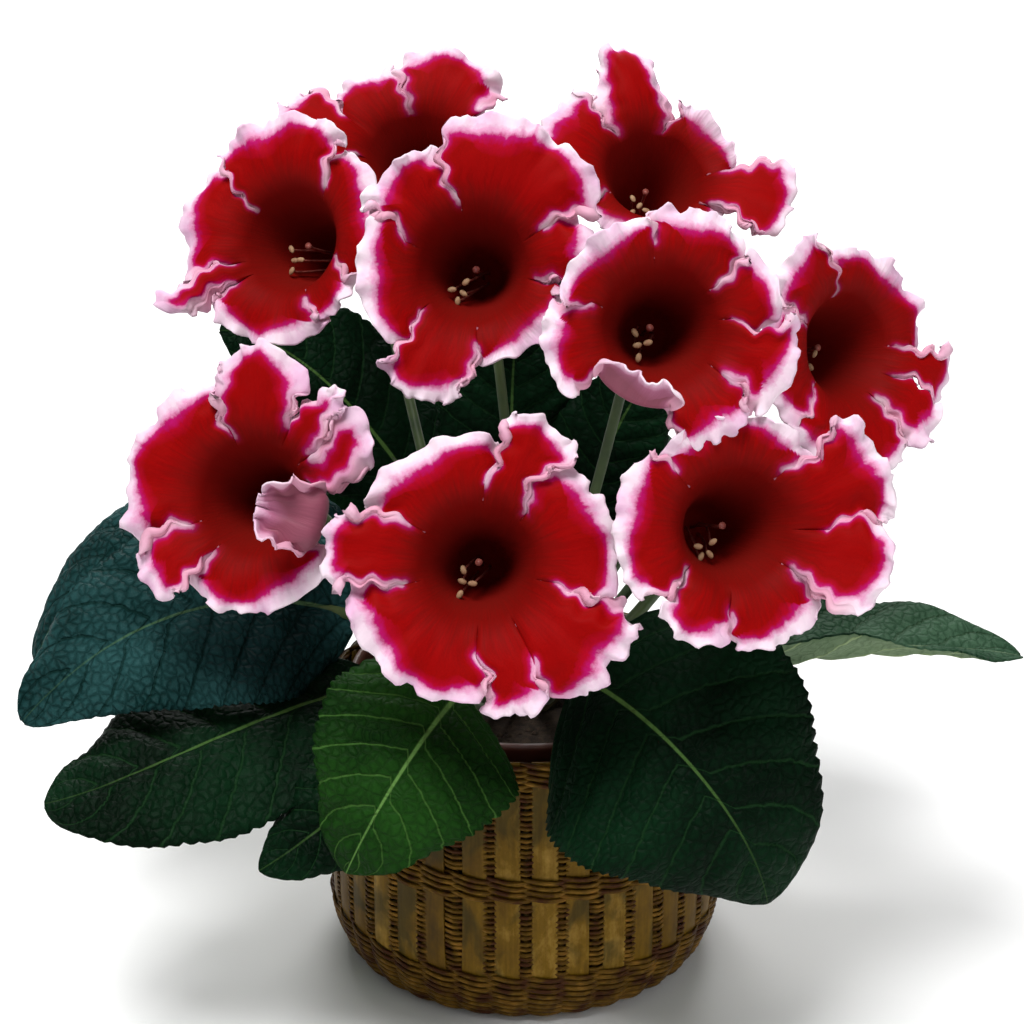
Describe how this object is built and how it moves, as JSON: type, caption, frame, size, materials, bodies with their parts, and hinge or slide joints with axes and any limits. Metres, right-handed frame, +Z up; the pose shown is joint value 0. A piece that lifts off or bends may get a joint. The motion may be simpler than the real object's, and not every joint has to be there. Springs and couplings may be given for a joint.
{
  "type": "gloxinia plant in a basket",
  "caption": "Potted gloxinia: velvet-red, white-edged trumpet flowers over broad toothed green leaves, in a pot standing in a round woven bamboo basket.",
  "frame": {"origin": "centre of the basket's flat underside, on the surface it stands on", "axes": "+Z up out of the pot, -Y towards the side with the most flowers"},
  "size_m": [0.3261, 0.2589, 0.3003],
  "materials": {
    "bamboo": "satin, split bamboo slats, golden tan",
    "cane": "satin, twined splints, brown",
    "pot": "matte, clay brown",
    "soil": "rough, dark potting soil",
    "crown": "rough, brown tuber top",
    "leaf": "velvety, dark blue-green, with a quilted net of veins",
    "young_leaf": "velvety, bright green, with a quilted net of veins",
    "petal": "velvety red, with a white ruffled edge that runs into magenta",
    "calyx": "soft, hairy, pale green",
    "anther": "matte, cream"
  },
  "bodies": {
    "root": {"basket_foot_band": "cane", "basket_middle_band": "cane", "basket_rim_band": "cane", "basket_wall": "bamboo", "corolla_back_left": "petal", "corolla_back_right": "petal", "corolla_far_right": "petal", "corolla_low_left": "petal", "corolla_low_middle": "petal", "corolla_low_right": "petal", "corolla_middle_right": "petal", "corolla_upper_left": "petal", "corolla_upper_middle": "petal", "crown": "crown", "grow_pot": "pot", "leaf_back": "leaf", "leaf_back_left": "leaf", "leaf_back_right": "leaf", "leaf_front_left": "young_leaf", "leaf_front_low": "leaf", "leaf_front_right": "leaf", "leaf_left": "leaf", "leaf_left_high": "leaf", "leaf_left_low": "leaf", "leaf_right": "leaf", "leaf_right_back": "leaf", "leaf_upper_left": "leaf", "leaf_upper_middle": "leaf", "leaf_upper_right": "leaf", "soil": "soil", "stalk_back_left": "calyx", "stalk_back_right": "calyx", "stalk_far_right": "calyx", "stalk_low_left": "calyx", "stalk_low_middle": "calyx", "stalk_low_right": "calyx", "stalk_middle_right": "calyx", "stalk_upper_left": "calyx", "stalk_upper_middle": "calyx", "stamens_back_left": "anther", "stamens_back_right": "anther", "stamens_far_right": "anther", "stamens_low_left": "anther", "stamens_low_middle": "anther", "stamens_low_right": "anther", "stamens_middle_right": "anther", "stamens_upper_left": "anther", "stamens_upper_middle": "anther"}
  },
  "joints": []
}
